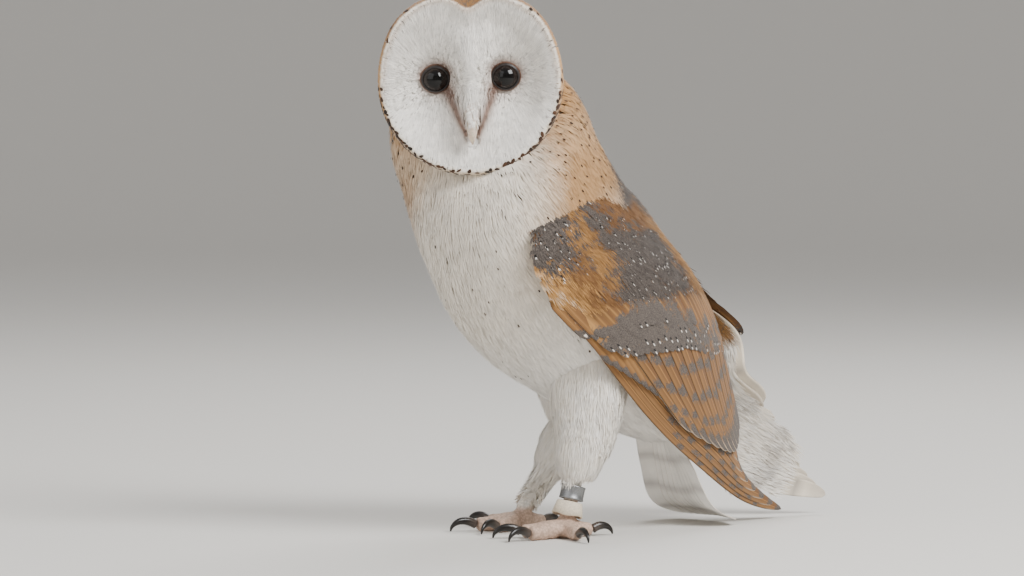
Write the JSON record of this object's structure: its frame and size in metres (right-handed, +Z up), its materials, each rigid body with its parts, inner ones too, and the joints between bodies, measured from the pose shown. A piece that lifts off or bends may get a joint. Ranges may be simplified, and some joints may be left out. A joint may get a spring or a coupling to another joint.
{
  "type": "barn owl",
  "caption": "Life-size barn owl standing still with folded wings and its head turned to its left, wearing a plain metal leg ring and a pale leather cuff.",
  "frame": {"origin": "on the floor under the middle of the owl's bounding box", "axes": "+Z up, the breast faces -Y, the owl's own left is +X"},
  "size_m": [0.1306, 0.3178, 0.3055],
  "materials": {
    "plumage_white": "soft white feathers",
    "plumage_buff": "golden-buff feathers",
    "plumage_grey": "grey feathers with fine spots",
    "eye": "wet black cornea",
    "bill_horn": "pale pinkish horn",
    "foot_skin": "pinkish-grey scaled skin",
    "claw_horn": "dark polished horn",
    "ring_metal": "dull rolled metal",
    "cuff_leather": "pale undyed leather"
  },
  "bodies": {
    "root": {"head": "plumage_white", "neck": "plumage_buff", "trunk": "plumage_white", "eye_left": "eye", "eye_right": "eye", "bill_upper": "bill_horn", "bill_lower": "bill_horn", "thigh_left": "plumage_white", "leg_left": "plumage_white", "foot_left": "foot_skin", "claw_left_inner": "claw_horn", "claw_left_middle": "claw_horn", "claw_left_outer": "claw_horn", "claw_left_hind": "claw_horn", "thigh_right": "plumage_white", "leg_right": "plumage_white", "foot_right": "foot_skin", "claw_right_inner": "claw_horn", "claw_right_middle": "claw_horn", "claw_right_outer": "claw_horn", "claw_right_hind": "claw_horn", "leg_ring": "ring_metal", "leg_cuff": "cuff_leather", "tail": "plumage_white", "wing_left_coverts": "plumage_grey", "wing_left_secondaries": "plumage_buff", "wing_left_primaries": "plumage_buff", "wing_right_coverts": "plumage_grey", "wing_right_secondaries": "plumage_buff", "wing_right_primaries": "plumage_buff"}
  },
  "joints": []
}
